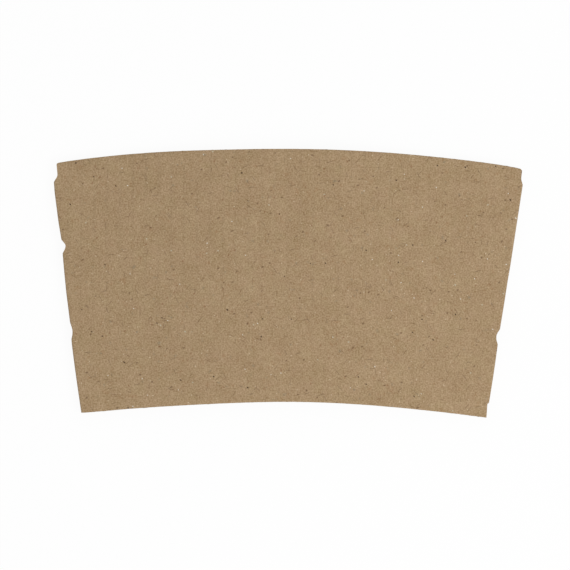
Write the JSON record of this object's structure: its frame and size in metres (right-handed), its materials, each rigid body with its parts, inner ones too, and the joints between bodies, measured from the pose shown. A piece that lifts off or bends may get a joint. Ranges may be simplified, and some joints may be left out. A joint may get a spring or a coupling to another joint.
{
  "type": "coffee cup sleeve",
  "caption": "Corrugated kraft sleeve for a hot takeaway cup: a glued ring of single-face board with the flutes inside, folded flat along its two side folds.",
  "frame": {"origin": "under the middle of the flat sleeve's outline, on the surface that its back lies on", "axes": "+X across the sleeve to its right fold seen from the front, +Y to its wide upper edge, +Z out of its front panel"},
  "size_m": [0.1234, 0.0702, 0.0047],
  "materials": {
    "kraft_board": "matt recycled kraft liner with fine flecks"
  },
  "bodies": {
    "root": {"sleeve": "kraft_board"}
  },
  "joints": []
}
